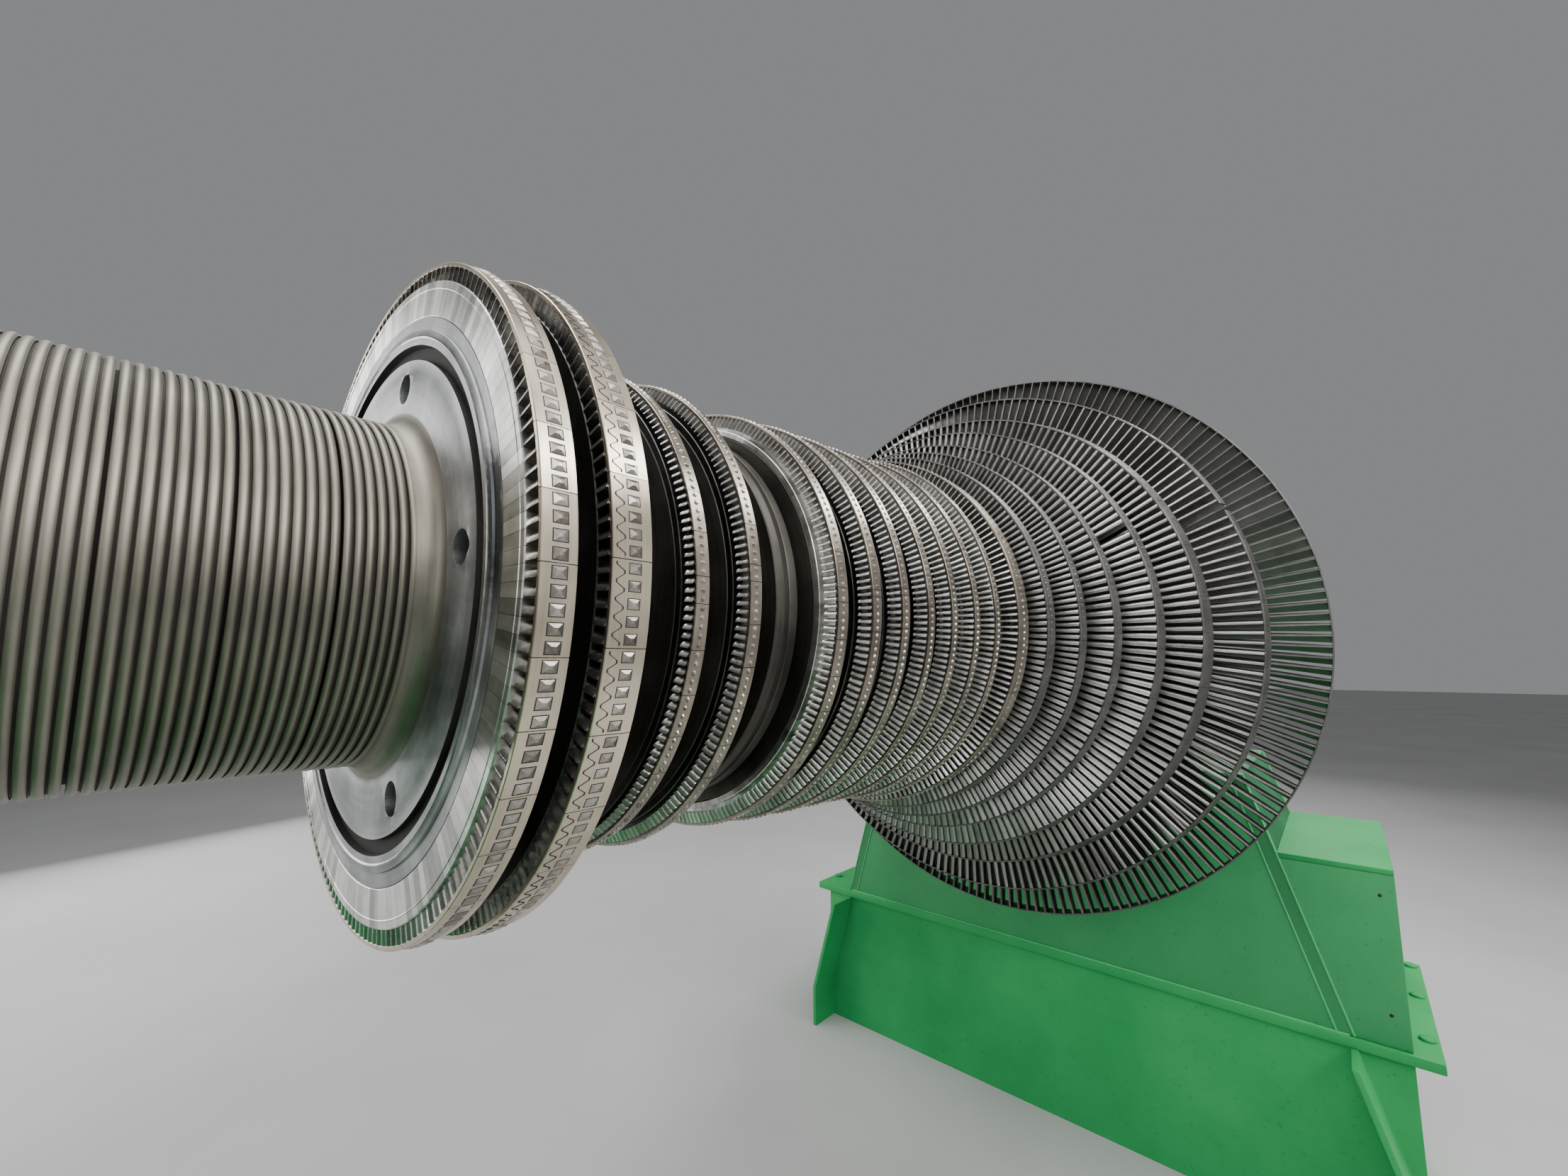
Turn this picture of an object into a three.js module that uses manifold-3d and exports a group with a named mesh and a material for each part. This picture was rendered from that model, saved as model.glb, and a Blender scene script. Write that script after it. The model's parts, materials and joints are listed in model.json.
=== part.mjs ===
// Steam turbine rotor of nineteen blade rows, lying in the half bearings of two fabricated pedestals.
// Millimetres. +X runs along the rotor from the gland end to the exhaust end, +Z is up.
// The origin is on the floor, under the middle of the rotor's length.
import * as THREE from 'three';
import { mergeVertices } from 'three/addons/utils/BufferGeometryUtils.js';
import Module from 'manifold-3d';

const wasm = await Module();
wasm.setup();

// Driving dimensions of the rotor. Stations are measured from the front edge of the last row's tip band.
const AXIS_HEIGHT = 1500;
const ROTOR_START = -2930;
const ROTOR_END = 990;
const DATUM = -(ROTOR_START + ROTOR_END) / 2;
const SIDES = 32;
const SEAT_GAP = 0.3;

// One entry for each blade row: middle station, tip radius, rim radius, width at the root and at the tip.
const ROWS = [
  { at: -1653.5, tip: 366, rim: 308, root: 37, crown: 31 },
  { at: -1592.5, tip: 373, rim: 318, root: 40, crown: 39 },
  { at: -1468, tip: 318, rim: 292, root: 30, crown: 18 },
  { at: -1395, tip: 324, rim: 293, root: 30, crown: 18 },
  { at: -1236.5, tip: 328, rim: 294, root: 36, crown: 21 },
  { at: -1165, tip: 334, rim: 297, root: 34, crown: 20 },
  { at: -1093.5, tip: 337, rim: 299, root: 34, crown: 19 },
  { at: -1020, tip: 339, rim: 300, root: 34, crown: 18 },
  { at: -947.5, tip: 342, rim: 301, root: 34, crown: 19 },
  { at: -874.5, tip: 347, rim: 303, root: 34, crown: 18 },
  { at: -809.5, tip: 356, rim: 305, root: 34, crown: 19 },
  { at: -731, tip: 372, rim: 310, root: 46, crown: 44 },
  { at: -660, tip: 398, rim: 320, root: 46, crown: 34 },
  { at: -575, tip: 431, rim: 332, root: 48, crown: 34 },
  { at: -483, tip: 471, rim: 346, root: 52, crown: 42 },
  { at: -388, tip: 530, rim: 364, root: 60, crown: 42 },
  { at: -276, tip: 595, rim: 388, root: 70, crown: 46 },
  { at: -160, tip: 693, rim: 425, root: 84, crown: 36 },
  { at: 21, tip: 800, rim: 466, root: 110, crown: 42 },
];
const CONTROL_WHEEL_FACE = -1674;
const CONTROL_WHEEL_BACK = -1560;
const CONTROL_WHEEL_STEP = 14;
const FACE_GROOVE = [262, 277];
const FACE_GROOVE_DEPTH = 6;
const BAND_HEIGHT = 5;
const PLATFORM_HEIGHT = 8;
const LAST_ROW_BLADES = 194;
const LAST_ROW_BAND_HEIGHT = 4;
const LAST_BLADE_ROOT_THICKNESS = 9;
const LAST_BLADE_TIP_THICKNESS = 5;
const LAST_BLADE_TWIST = THREE.MathUtils.degToRad(0.5);

// Shaft between the wheels
const SHAFT_RADIUS_FIRST = 196;
const SHAFT_RADIUS_LAST = 262;
const DUMMY_STEP_RADIUS = 280;
const DUMMY_STEP_STATIONS = [-1313, -1272];

// Gland, journals, thrust collar and coupling flange
const GLAND_RADIUS = 186;
const GLAND_START = -2215;
const FACE_FILLET = 20;
const JOURNAL_RADIUS = 125;
const NECK_RADIUS = 118;
const END_STUB_RADIUS = 90;
const THRUST_COLLAR_RADIUS = 205;
const THRUST_COLLAR = [-2730, -2690];
const GLAND_JOURNAL = [-2620, -2330];
const EXHAUST_JOURNAL = [430, 730];
const EXHAUST_GLAND_RADIUS = 178;
const EXHAUST_GLAND_START = 150;
const LAST_HUB_RADIUS = 300;
const LAST_HUB_END = 130;
const COUPLING_RADIUS = 270;
const COUPLING_THICKNESS = 62;

// Balance holes through the control wheel
const BALANCE_HOLES = 5;
const BALANCE_HOLE_RADIUS = 17;
const BALANCE_HOLE_CIRCLE = 230;
const FIRST_BALANCE_HOLE = THREE.MathUtils.degToRad(30);

// Pedestals: fabricated from plate, with a shelf on the side that faces -Y
const PEDESTAL_NEAR_FACE = 282;
const PEDESTAL_DEPTH = 618;
const PEDESTAL_MIDDLE = PEDESTAL_NEAR_FACE + PEDESTAL_DEPTH / 2;
const GLAND_PEDESTAL_MIDDLE = -2180 - PEDESTAL_DEPTH / 2;
const BASE_HEIGHT = 475;
const FLANGE_TOP = 500;
const FLANGE_HALF_WIDTH = 915;
const FLANGE_OVERHANG = 9;
const BASE_HALF_WIDTH = 863;
const BASE_WALL = 20;
const RIB_THICKNESS = 14;
const RIB_REACH = 120;
const RIB_TOP_OFFSET = 764;
const RIB_BEND_HEIGHT = 141;
const UPRIGHT_HALF_WIDTH_BOTTOM = 762;
const UPRIGHT_HALF_WIDTH_TOP = 579;
const UPRIGHT_TOP = AXIS_HEIGHT - 390;
const PLATE = 20;
const SHELF_TOP = AXIS_HEIGHT - 585;
const SHELF_THICKNESS = 14;
const SADDLE_LENGTH = 170;
const SADDLE_HALF_WIDTH = 250;
const SADDLE_FOOT_HALF_WIDTH = 330;
const SADDLE_FOOT_HEIGHT = 40;
const LINER_THICKNESS = 16;
const RUNNING_CLEARANCE = 0.3;

const forgedSteel = { color: 0x6d6a64, roughness: 0.55, metalness: 0.85 };
const bladeSteel = { color: 0x55534f, roughness: 0.45, metalness: 0.9 };
const bandSteel = { color: 0x9a9284, roughness: 0.38, metalness: 0.9 };
const greenPaint = { color: 0x3f8a58, roughness: 0.6, metalness: 0.05 };
const bareSteel = { color: 0x7d7b77, roughness: 0.5, metalness: 0.8 };
const bearingMetal = { color: 0xb9b4a4, roughness: 0.4, metalness: 0.8 };

const rotor = new THREE.Group();
const stand = new THREE.Group();

function addPiece(group, name, geometry, finish) {
  const mesh = new THREE.Mesh(geometry, new THREE.MeshStandardMaterial(finish));
  mesh.name = name;
  group.add(mesh);
}

// A ring or shaft turned from [station, radius] points, with its axis along X and a corner at the top.
function turned(points) {
  const profile = points.map(([station, radius]) => new THREE.Vector2(radius, station + DATUM));
  const geometry = new THREE.LatheGeometry(profile, SIDES);
  geometry.rotateZ(-Math.PI / 2);
  geometry.translate(0, 0, AXIS_HEIGHT);
  return geometry;
}

function ring(points) {
  return turned([...points, points[0]]);
}

// Joins equal corners, drops the empty triangles at a pole and hands the shape to the solid library.
function toSolid(geometry) {
  geometry.deleteAttribute('normal');
  geometry.deleteAttribute('uv');
  const merged = mergeVertices(geometry, 0.001);
  const corners = merged.index.array;
  const kept = [];
  for (let i = 0; i < corners.length; i += 3) {
    const [a, b, c] = corners.slice(i, i + 3);
    if (a !== b && b !== c && c !== a) kept.push(a, b, c);
  }
  const vertProperties = new Float32Array(merged.attributes.position.array);
  return new wasm.Manifold(new wasm.Mesh({ numProp: 3, vertProperties, triVerts: new Uint32Array(kept) }));
}

function fromSolid(solid) {
  const mesh = solid.getMesh();
  const geometry = new THREE.BufferGeometry();
  geometry.setAttribute('position', new THREE.BufferAttribute(mesh.vertProperties, mesh.numProp));
  geometry.setIndex(new THREE.BufferAttribute(mesh.triVerts, 1));
  geometry.computeVertexNormals();
  return geometry;
}

function box(size, centre) {
  const geometry = new THREE.BoxGeometry(...size);
  geometry.translate(...centre);
  return geometry;
}

function wheelPoints(row, shaftRadius) {
  const half = row.root / 2;
  return [
    [row.at - half, shaftRadius],
    [row.at - half, row.rim],
    [row.at + half, row.rim],
    [row.at + half, shaftRadius],
  ];
}

function shaftRadiusAt(station) {
  const share = (station - CONTROL_WHEEL_BACK) / -CONTROL_WHEEL_BACK;
  return THREE.MathUtils.lerp(SHAFT_RADIUS_FIRST, SHAFT_RADIUS_LAST, Math.max(share, 0));
}

// Concave fillet between the gland and the control wheel's face.
function filletPoints() {
  const points = [];
  for (let step = 0; step <= 3; step += 1) {
    const angle = (step / 3) * (Math.PI / 2);
    const station = CONTROL_WHEEL_FACE - FACE_FILLET + FACE_FILLET * Math.sin(angle);
    points.push([station, GLAND_RADIUS + FACE_FILLET - FACE_FILLET * Math.cos(angle)]);
  }
  return points;
}

function controlWheelPoints() {
  const [first, second] = ROWS;
  const between = first.at + first.root / 2;
  return [
    [CONTROL_WHEEL_FACE, FACE_GROOVE[0]],
    [CONTROL_WHEEL_FACE + FACE_GROOVE_DEPTH, FACE_GROOVE[0]],
    [CONTROL_WHEEL_FACE + FACE_GROOVE_DEPTH, FACE_GROOVE[1]],
    [CONTROL_WHEEL_FACE, FACE_GROOVE[1]],
    [CONTROL_WHEEL_FACE, first.rim - CONTROL_WHEEL_STEP],
    [first.at - first.root / 2, first.rim - CONTROL_WHEEL_STEP],
    [first.at - first.root / 2, first.rim],
    [between, first.rim],
    [between, first.rim - CONTROL_WHEEL_STEP],
    [second.at - second.root / 2, first.rim - CONTROL_WHEEL_STEP],
    [second.at - second.root / 2, second.rim],
    [second.at + second.root / 2, second.rim],
    [CONTROL_WHEEL_BACK, SHAFT_RADIUS_FIRST + FACE_FILLET],
    [CONTROL_WHEEL_BACK + FACE_FILLET / 2, SHAFT_RADIUS_FIRST],
  ];
}

function forgingGeometry() {
  const points = [
    [ROTOR_START, 0],
    [ROTOR_START, END_STUB_RADIUS],
    [THRUST_COLLAR[0], END_STUB_RADIUS],
    [THRUST_COLLAR[0], THRUST_COLLAR_RADIUS],
    [THRUST_COLLAR[1], THRUST_COLLAR_RADIUS],
    [THRUST_COLLAR[1], NECK_RADIUS],
    [GLAND_JOURNAL[0], NECK_RADIUS],
    [GLAND_JOURNAL[0], JOURNAL_RADIUS],
    [GLAND_JOURNAL[1], JOURNAL_RADIUS],
    [GLAND_JOURNAL[1], NECK_RADIUS],
    [GLAND_START, NECK_RADIUS],
    [GLAND_START, GLAND_RADIUS],
    ...filletPoints(),
    ...controlWheelPoints(),
  ];
  ROWS.slice(2).forEach((row, index) => {
    if (index === 2) {
      for (const station of DUMMY_STEP_STATIONS) {
        const radii = [shaftRadiusAt(station), DUMMY_STEP_RADIUS];
        if (station === DUMMY_STEP_STATIONS[1]) radii.reverse();
        points.push(...radii.map((radius) => [station, radius]));
      }
    }
    points.push(...wheelPoints(row, shaftRadiusAt(row.at)));
  });
  points.pop();
  const last = ROWS[ROWS.length - 1];
  points.push([last.at + last.root / 2, LAST_HUB_RADIUS]);
  points.push([LAST_HUB_END, LAST_HUB_RADIUS]);
  points.push([EXHAUST_GLAND_START, EXHAUST_GLAND_RADIUS]);
  points.push([EXHAUST_JOURNAL[0], EXHAUST_GLAND_RADIUS]);
  points.push([EXHAUST_JOURNAL[0], JOURNAL_RADIUS]);
  points.push([EXHAUST_JOURNAL[1], JOURNAL_RADIUS]);
  points.push([EXHAUST_JOURNAL[1], NECK_RADIUS]);
  points.push([ROTOR_END - COUPLING_THICKNESS, NECK_RADIUS]);
  points.push([ROTOR_END - COUPLING_THICKNESS, COUPLING_RADIUS]);
  points.push([ROTOR_END, COUPLING_RADIUS]);
  points.push([ROTOR_END, 0]);
  let forging = toSolid(turned(points));
  for (let hole = 0; hole < BALANCE_HOLES; hole += 1) {
    const angle = FIRST_BALANCE_HOLE + (hole * 2 * Math.PI) / BALANCE_HOLES;
    const depth = CONTROL_WHEEL_BACK - CONTROL_WHEEL_FACE + FACE_FILLET;
    const drill = new THREE.CylinderGeometry(BALANCE_HOLE_RADIUS, BALANCE_HOLE_RADIUS, depth * 1.2, 12);
    drill.rotateZ(Math.PI / 2);
    drill.translate(
      (CONTROL_WHEEL_FACE + CONTROL_WHEEL_BACK) / 2 + DATUM,
      BALANCE_HOLE_CIRCLE * Math.cos(angle),
      BALANCE_HOLE_CIRCLE * Math.sin(angle) + AXIS_HEIGHT,
    );
    forging = forging.subtract(toSolid(drill));
  }
  return fromSolid(forging);
}

// A row of blades closed by its band, as one ring seated on the wheel's rim.
function bladeRing(row, tip) {
  return ring([
    [row.at - row.root / 2, row.rim + SEAT_GAP],
    [row.at - row.crown / 2, tip],
    [row.at + row.crown / 2, tip],
    [row.at + row.root / 2, row.rim + SEAT_GAP],
  ]);
}

// A closed path of [radius, angle] corners.
function polarPath(corners, Kind) {
  return new Kind(corners.map(([radius, angle]) => (
    new THREE.Vector2(radius * Math.cos(angle), radius * Math.sin(angle))
  )));
}

// The last row: long blades between their ring of roots and a thin tip band, turned further at the tip.
function lastRow(row) {
  const platform = row.rim + PLATFORM_HEIGHT;
  const underBand = row.tip - LAST_ROW_BAND_HEIGHT;
  const pitch = (2 * Math.PI) / LAST_ROW_BLADES;
  const rootHalf = LAST_BLADE_ROOT_THICKNESS / 2 / platform;
  const tipHalf = LAST_BLADE_TIP_THICKNESS / 2 / underBand;
  const outer = [];
  const slots = [];
  for (let blade = 0; blade < LAST_ROW_BLADES; blade += 1) {
    const middle = blade * pitch;
    const next = middle + pitch;
    outer.push([row.tip, middle]);
    slots.push(polarPath([
      [platform, middle + rootHalf],
      [underBand, middle + tipHalf],
      [underBand, next - tipHalf],
      [platform, next - rootHalf],
    ], THREE.Path));
  }
  const bore = [];
  for (let corner = 0; corner < SIDES; corner += 1) {
    bore.push([row.rim + SEAT_GAP, (corner * 2 * Math.PI) / SIDES]);
  }
  const outline = polarPath(outer, THREE.Shape);
  outline.holes.push(polarPath(bore, THREE.Path), ...slots);
  const geometry = new THREE.ExtrudeGeometry(outline, { depth: row.root, bevelEnabled: false, steps: 1 });
  const position = geometry.attributes.position;
  for (let i = 0; i < position.count; i += 1) {
    const corner = new THREE.Vector3().fromBufferAttribute(position, i);
    const radius = Math.hypot(corner.x, corner.y);
    const rise = THREE.MathUtils.clamp((radius - platform) / (underBand - platform), 0, 1);
    const side = corner.z > row.root / 2 ? 1 : -1;
    const turn = Math.atan2(corner.y, corner.x) + side * rise * LAST_BLADE_TWIST;
    const half = THREE.MathUtils.lerp(row.root, row.crown, rise) / 2;
    position.setXYZ(i, radius * Math.cos(turn), radius * Math.sin(turn), side * half);
  }
  geometry.rotateZ(Math.PI / 2);
  geometry.rotateY(Math.PI / 2);
  geometry.translate(row.at + DATUM, 0, AXIS_HEIGHT);
  return geometry;
}

function buildRotor() {
  addPiece(rotor, 'rotor_forging', forgingGeometry(), forgedSteel);
  ROWS.forEach((row, index) => {
    const number = String(index + 1).padStart(2, '0');
    const name = `blade_row_${number}`;
    if (index === ROWS.length - 1) {
      addPiece(rotor, name, lastRow(row), bladeSteel);
    } else if (index < 2) {
      addPiece(rotor, name, bladeRing(row, row.tip - BAND_HEIGHT - SEAT_GAP), bladeSteel);
      const band = ring([
        [row.at - row.crown / 2, row.tip - BAND_HEIGHT],
        [row.at - row.crown / 2, row.tip],
        [row.at + row.crown / 2, row.tip],
        [row.at + row.crown / 2, row.tip - BAND_HEIGHT],
      ]);
      addPiece(rotor, `shroud_band_${number}`, band, bandSteel);
    } else {
      addPiece(rotor, name, bladeRing(row, row.tip), bladeSteel);
    }
  });
}

// A plate cut to an outline of [y, z] points and extruded along X about a middle station.
function crossPlate(points, middle, thickness, hole) {
  const outline = new THREE.Shape(points.map(([y, z]) => new THREE.Vector2(y, z)));
  if (hole) outline.holes.push(new THREE.Path(hole.map(([y, z]) => new THREE.Vector2(y, z))));
  const geometry = new THREE.ExtrudeGeometry(outline, { depth: thickness, bevelEnabled: false, steps: 1 });
  geometry.rotateX(Math.PI / 2);
  geometry.rotateZ(Math.PI / 2);
  geometry.translate(middle + DATUM - thickness / 2, 0, 0);
  return geometry;
}

function uprightHalfWidthAt(height) {
  const share = (height - FLANGE_TOP) / (UPRIGHT_TOP - FLANGE_TOP);
  return THREE.MathUtils.lerp(UPRIGHT_HALF_WIDTH_BOTTOM, UPRIGHT_HALF_WIDTH_TOP, share);
}

// Lower base: an open box of plate. On the face towards the blades two slanting ribs carry the line of
// the upright's sides down to the floor.
function baseGeometry(middle, inward) {
  const outer = box(
    [PEDESTAL_DEPTH, 2 * BASE_HALF_WIDTH, BASE_HEIGHT],
    [middle + DATUM, 0, BASE_HEIGHT / 2],
  );
  const inner = box(
    [PEDESTAL_DEPTH - 2 * BASE_WALL, 2 * (BASE_HALF_WIDTH - BASE_WALL), BASE_HEIGHT * 2],
    [middle + DATUM, 0, BASE_HEIGHT / 2],
  );
  let base = toSolid(outer).subtract(toSolid(inner));
  const ribStation = middle + (inward * (PEDESTAL_DEPTH + RIB_REACH - BASE_WALL)) / 2;
  for (const side of [-1, 1]) {
    const outline = [
      [RIB_TOP_OFFSET - RIB_THICKNESS, BASE_HEIGHT],
      [BASE_HALF_WIDTH - RIB_THICKNESS, RIB_BEND_HEIGHT],
      [BASE_HALF_WIDTH - RIB_THICKNESS, 0],
      [BASE_HALF_WIDTH, 0],
      [BASE_HALF_WIDTH, RIB_BEND_HEIGHT],
      [RIB_TOP_OFFSET, BASE_HEIGHT],
    ].map(([offset, height]) => [side * offset, height]);
    if (side > 0) outline.reverse();
    base = base.add(toSolid(crossPlate(outline, ribStation, RIB_REACH + BASE_WALL)));
  }
  return fromSolid(base);
}

// Inverted channel of two slanting side plates and the top plate that carries the bearing.
function casingGeometry(middle) {
  const low = FLANGE_TOP + SEAT_GAP;
  const slope = (UPRIGHT_HALF_WIDTH_BOTTOM - UPRIGHT_HALF_WIDTH_TOP) / (UPRIGHT_TOP - FLANGE_TOP);
  const side = PLATE * Math.hypot(1, slope);
  const underTop = UPRIGHT_TOP - PLATE * 1.5;
  const outline = [
    [-uprightHalfWidthAt(low), low],
    [-uprightHalfWidthAt(low) + side, low],
    [-uprightHalfWidthAt(underTop) + side, underTop],
    [uprightHalfWidthAt(underTop) - side, underTop],
    [uprightHalfWidthAt(low) - side, low],
    [uprightHalfWidthAt(low), low],
    [UPRIGHT_HALF_WIDTH_TOP, UPRIGHT_TOP],
    [-UPRIGHT_HALF_WIDTH_TOP, UPRIGHT_TOP],
  ];
  return crossPlate(outline, middle, PEDESTAL_DEPTH - 2 * PLATE - 2 * SEAT_GAP);
}

// Front or rear plate: the upright's trapezium, carried out under the shelf on the -Y side.
function endPlateGeometry(station) {
  const low = FLANGE_TOP + SEAT_GAP;
  const shelfUnderside = SHELF_TOP - SHELF_THICKNESS - SEAT_GAP;
  return crossPlate([
    [-BASE_HALF_WIDTH, low],
    [uprightHalfWidthAt(low), low],
    [UPRIGHT_HALF_WIDTH_TOP, UPRIGHT_TOP],
    [-UPRIGHT_HALF_WIDTH_TOP, UPRIGHT_TOP],
    [-uprightHalfWidthAt(shelfUnderside), shelfUnderside],
    [-BASE_HALF_WIDTH, shelfUnderside],
  ], station, PLATE);
}

// Shelf beside the upright, resting on the two end plates.
function shelfGeometry(middle) {
  return crossPlate([
    [-BASE_HALF_WIDTH, SHELF_TOP - SHELF_THICKNESS],
    [-uprightHalfWidthAt(SHELF_TOP - SHELF_THICKNESS) - SEAT_GAP, SHELF_TOP - SHELF_THICKNESS],
    [-uprightHalfWidthAt(SHELF_TOP) - SEAT_GAP, SHELF_TOP],
    [-BASE_HALF_WIDTH, SHELF_TOP],
  ], middle, PEDESTAL_DEPTH);
}

function sideWallGeometry(middle) {
  const low = FLANGE_TOP + SEAT_GAP;
  const high = SHELF_TOP - SHELF_THICKNESS - SEAT_GAP;
  return box(
    [PEDESTAL_DEPTH - 2 * PLATE - 2 * SEAT_GAP, PLATE, high - low],
    [middle + DATUM, -BASE_HALF_WIDTH + PLATE / 2, (low + high) / 2],
  );
}

function halfCircle(radius, from, to) {
  const points = [];
  const steps = SIDES / 2;
  for (let step = 0; step <= steps; step += 1) {
    const angle = THREE.MathUtils.lerp(from, to, step / steps);
    points.push([radius * Math.cos(angle), AXIS_HEIGHT + radius * Math.sin(angle)]);
  }
  return points;
}

// Bearing block with its half bore, and the half liner that the journal lies in.
function buildBearing(prefix, middle) {
  const flats = Math.cos(Math.PI / SIDES);
  const bore = (JOURNAL_RADIUS + RUNNING_CLEARANCE) / flats;
  const seat = bore + LINER_THICKNESS;
  const foot = UPRIGHT_TOP + SEAT_GAP;
  const block = [
    [-SADDLE_FOOT_HALF_WIDTH, foot],
    [SADDLE_FOOT_HALF_WIDTH, foot],
    [SADDLE_FOOT_HALF_WIDTH, foot + SADDLE_FOOT_HEIGHT],
    [SADDLE_HALF_WIDTH, foot + SADDLE_FOOT_HEIGHT],
    [SADDLE_HALF_WIDTH, AXIS_HEIGHT],
    ...halfCircle(seat + SEAT_GAP, 0, -Math.PI),
    [-SADDLE_HALF_WIDTH, AXIS_HEIGHT],
    [-SADDLE_HALF_WIDTH, foot + SADDLE_FOOT_HEIGHT],
    [-SADDLE_FOOT_HALF_WIDTH, foot + SADDLE_FOOT_HEIGHT],
  ];
  addPiece(stand, `${prefix}_bearing_block`, crossPlate(block, middle, SADDLE_LENGTH), bareSteel);
  const liner = [...halfCircle(seat, -Math.PI, 0), ...halfCircle(bore, 0, -Math.PI)];
  addPiece(stand, `${prefix}_bearing_liner`, crossPlate(liner, middle, SADDLE_LENGTH + 20), bearingMetal);
}

function buildPedestal(prefix, middle, inward) {
  const flange = box(
    [PEDESTAL_DEPTH + 2 * FLANGE_OVERHANG, 2 * FLANGE_HALF_WIDTH, FLANGE_TOP - BASE_HEIGHT - SEAT_GAP],
    [middle + DATUM, 0, (FLANGE_TOP + BASE_HEIGHT + SEAT_GAP) / 2],
  );
  const endOffset = (PEDESTAL_DEPTH - PLATE) / 2;
  addPiece(stand, `${prefix}_base`, baseGeometry(middle, inward), greenPaint);
  addPiece(stand, `${prefix}_flange_plate`, flange, greenPaint);
  addPiece(stand, `${prefix}_front_plate`, endPlateGeometry(middle + inward * endOffset), greenPaint);
  addPiece(stand, `${prefix}_rear_plate`, endPlateGeometry(middle - inward * endOffset), greenPaint);
  addPiece(stand, `${prefix}_casing`, casingGeometry(middle), greenPaint);
  addPiece(stand, `${prefix}_shelf`, shelfGeometry(middle), greenPaint);
  addPiece(stand, `${prefix}_side_wall`, sideWallGeometry(middle), greenPaint);
  buildBearing(prefix, middle);
}

buildRotor();
buildPedestal('exhaust', PEDESTAL_MIDDLE, -1);
buildPedestal('gland', GLAND_PEDESTAL_MIDDLE, 1);

const turbineRotor = new THREE.Group();
turbineRotor.add(rotor, stand);

export default turbineRotor;
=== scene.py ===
"""Looks of a steam turbine rotor that lies in the half bearings of two fabricated pedestals.

Lengths are in millimetres, as on a drawing, unless a comment says metres. A station runs along the rotor from
the front edge of the last row's tip band, and a turn of zero faces -Y. Meshes are in metres, in the frame of
the solids.
"""
import json
import math
import random

import bmesh
import bpy
from mathutils import Matrix, Vector


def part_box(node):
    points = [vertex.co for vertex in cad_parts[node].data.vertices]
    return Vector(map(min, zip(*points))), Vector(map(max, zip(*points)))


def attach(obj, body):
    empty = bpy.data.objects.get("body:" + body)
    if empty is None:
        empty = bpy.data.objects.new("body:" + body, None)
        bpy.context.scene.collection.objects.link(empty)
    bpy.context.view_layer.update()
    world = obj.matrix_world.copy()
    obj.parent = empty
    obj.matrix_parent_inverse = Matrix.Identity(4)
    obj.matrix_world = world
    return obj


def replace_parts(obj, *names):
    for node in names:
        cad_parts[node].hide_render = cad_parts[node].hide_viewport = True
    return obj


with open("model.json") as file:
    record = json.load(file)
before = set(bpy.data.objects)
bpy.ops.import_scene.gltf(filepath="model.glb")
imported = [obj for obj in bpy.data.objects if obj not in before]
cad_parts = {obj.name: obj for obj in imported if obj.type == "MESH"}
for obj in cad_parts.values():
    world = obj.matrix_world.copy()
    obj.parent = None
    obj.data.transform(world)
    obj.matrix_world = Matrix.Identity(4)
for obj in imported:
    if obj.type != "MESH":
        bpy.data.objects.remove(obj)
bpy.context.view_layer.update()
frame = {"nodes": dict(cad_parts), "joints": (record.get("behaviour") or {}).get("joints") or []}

MM = 0.001
TURN = 2 * math.pi
EVERYWHERE = (-math.inf, math.inf)
NOWHERE = (math.inf, math.inf)
STANDING = Matrix.Identity(4)
ALONG_ROTOR = Matrix.Rotation(TURN / 4, 4, "Y")

# The axis in metres, which points so that a growing turn goes from -Y to +Z
AXIS_HEIGHT = frame["joints"][0]["pos_m"][2]
AXIS_POINT = Vector((0, 0, AXIS_HEIGHT))
AXIS_DIRECTION = Vector((-1, 0, 0))

# How far station zero lies from the frame's origin, towards +X
DATUM = 970


class Row:
    """One row of blades. It has the middle station, the radii of its tip, rim and blade foot, the widths of
    its root and crown band, the number of blades, how many go under each piece of band, and the turn where
    the first piece starts. The shape pairs are for the blade's foot and tip, in shares of the blade pitch.
    The cone is how far the band's front and rear edges stand above the tip radius."""

    def __init__(self, at, tip, rim, foot, root, crown, blades, segments, split, shape, cone=(0, 0)):
        self.at, self.tip, self.rim, self.foot = at, tip, rim, foot
        self.root, self.crown = root, crown
        self.front, self.back = at - root / 2, at + root / 2
        self.blades, self.segments, self.split = blades, segments, split
        self.shape, self.cone = shape, cone

    def crown_radius(self, station):
        """Outer radius of the band at a station."""
        front, rear = self.cone
        return self.tip + front + (rear - front) * ((station - self.at) / self.crown + 0.5)


# How far a blade's back bows out and its trailing edge is carried on, and its thickness at nose and middle
CONTROL = ((0.5, 0.1, 0.1, 0.3), (0.5, 0.1, 0.1, 0.3))
SHORT = ((0.5, 0.15, 0.12, 0.32), (0.5, 0.15, 0.12, 0.32))
MEDIUM = ((0.8, 0.2, 0.08, 0.28), (0.78, 0.1, 0.08, 0.28))
TALL = ((0.76, 0.1, 0.09, 0.28), (0.62, -0.2, 0.09, 0.24))
LONG = ((0.66, 0.0, 0.12, 0.3), (0.26, -0.5, 0.11, 0.2))
LAST = ((0.6, -0.1, 0.14, 0.34), (0.08, -0.56, 0.1, 0.17))

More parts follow.
